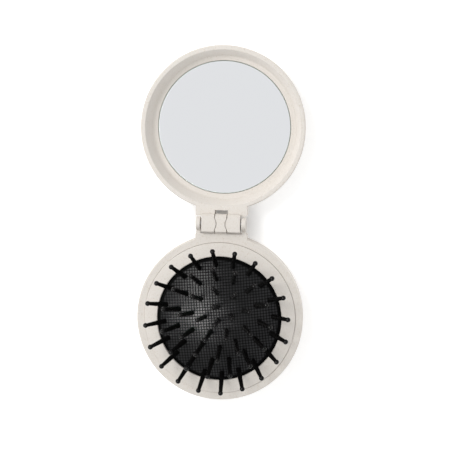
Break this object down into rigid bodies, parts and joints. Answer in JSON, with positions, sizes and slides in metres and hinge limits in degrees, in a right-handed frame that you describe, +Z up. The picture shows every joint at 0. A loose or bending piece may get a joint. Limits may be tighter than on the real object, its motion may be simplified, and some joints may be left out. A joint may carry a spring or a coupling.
{
  "type": "folding pocket hairbrush with mirror",
  "caption": "Folding pocket hairbrush: a round hinged case with a mirror in the lid and a pop-up cushion brush with ball-tipped pins, lying open.",
  "frame": {"origin": "on the table straight below the middle of the hinge, which is the bottom centre of the whole object lying open", "axes": "+X along the hinge pin, +Y from the hinge towards the lid, +Z up"},
  "size_m": [0.065, 0.1385, 0.0297],
  "materials": {
    "straw_plastic": "matt cream, speckled with straw fibre",
    "steel": "plain drawn wire",
    "mirror": "silvered glass",
    "foam": "closed-cell foam tape",
    "cushion_rubber": "black, embossed with a fine mesh",
    "pin_nylon": "smooth black nylon"
  },
  "bodies": {
    "base": {"base_case": "straw_plastic", "hinge_pin": "steel"},
    "lid": {"lid_case": "straw_plastic", "mirror_glass": "mirror", "mirror_tape": "foam"},
    "brush": {"brush_cup": "straw_plastic", "cushion_bezel": "straw_plastic", "cushion": "cushion_rubber"},
    "pins_0": {"pin_0_01": "pin_nylon"},
    "pins_1": {"pin_1_01": "pin_nylon", "pin_1_02": "pin_nylon", "pin_1_03": "pin_nylon", "pin_1_04": "pin_nylon", "pin_1_05": "pin_nylon"},
    "pins_2": {"pin_2_01": "pin_nylon", "pin_2_02": "pin_nylon", "pin_2_03": "pin_nylon", "pin_2_04": "pin_nylon", "pin_2_05": "pin_nylon", "pin_2_06": "pin_nylon", "pin_2_07": "pin_nylon", "pin_2_08": "pin_nylon", "pin_2_09": "pin_nylon", "pin_2_10": "pin_nylon"},
    "pins_3": {"pin_3_01": "pin_nylon", "pin_3_02": "pin_nylon", "pin_3_03": "pin_nylon", "pin_3_04": "pin_nylon", "pin_3_05": "pin_nylon", "pin_3_06": "pin_nylon", "pin_3_07": "pin_nylon", "pin_3_08": "pin_nylon", "pin_3_09": "pin_nylon", "pin_3_10": "pin_nylon", "pin_3_11": "pin_nylon", "pin_3_12": "pin_nylon", "pin_3_13": "pin_nylon", "pin_3_14": "pin_nylon", "pin_3_15": "pin_nylon"},
    "pins_4": {"pin_4_01": "pin_nylon", "pin_4_02": "pin_nylon", "pin_4_03": "pin_nylon", "pin_4_04": "pin_nylon", "pin_4_05": "pin_nylon", "pin_4_06": "pin_nylon", "pin_4_07": "pin_nylon", "pin_4_08": "pin_nylon", "pin_4_09": "pin_nylon", "pin_4_10": "pin_nylon", "pin_4_11": "pin_nylon", "pin_4_12": "pin_nylon", "pin_4_13": "pin_nylon", "pin_4_14": "pin_nylon", "pin_4_15": "pin_nylon", "pin_4_16": "pin_nylon", "pin_4_17": "pin_nylon", "pin_4_18": "pin_nylon", "pin_4_19": "pin_nylon", "pin_4_20": "pin_nylon"}
  },
  "joints": [
    {"name": "lid_hinge", "type": "hinge", "parent": "base", "child": "lid", "pos_m": [0, 0, 0.011], "axis": [1, 0, 0], "range_deg": [0, 180], "deforming": ["cushion"]},
    {"name": "brush_slide", "type": "slide", "parent": "base", "child": "brush", "axis": [0, 0, 1], "range_m": [-0.008, 0]},
    {"name": "pins_0_slide", "type": "slide", "parent": "brush", "child": "pins_0", "axis": [0, 0, 1], "range_m": [-0.00484, 0]},
    {"name": "pins_1_slide", "type": "slide", "parent": "brush", "child": "pins_1", "axis": [0, 0, 1], "range_m": [-0.00461, 0]},
    {"name": "pins_2_slide", "type": "slide", "parent": "brush", "child": "pins_2", "axis": [0, 0, 1], "range_m": [-0.00393, 0]},
    {"name": "pins_3_slide", "type": "slide", "parent": "brush", "child": "pins_3", "axis": [0, 0, 1], "range_m": [-0.00278, 0]},
    {"name": "pins_4_slide", "type": "slide", "parent": "brush", "child": "pins_4", "axis": [0, 0, 1], "range_m": [-0.0011, 0]}
  ],
  "couplings": [
    {"joint": "brush_slide", "follows": "lid_hinge", "m_per_rad": -0.0025464},
    {"joint": "pins_0_slide", "follows": "lid_hinge", "m_per_rad": -0.0015406},
    {"joint": "pins_1_slide", "follows": "lid_hinge", "m_per_rad": -0.0014674},
    {"joint": "pins_2_slide", "follows": "lid_hinge", "m_per_rad": -0.0012509},
    {"joint": "pins_3_slide", "follows": "lid_hinge", "m_per_rad": -0.0008849},
    {"joint": "pins_4_slide", "follows": "lid_hinge", "m_per_rad": -0.0003501}
  ]
}
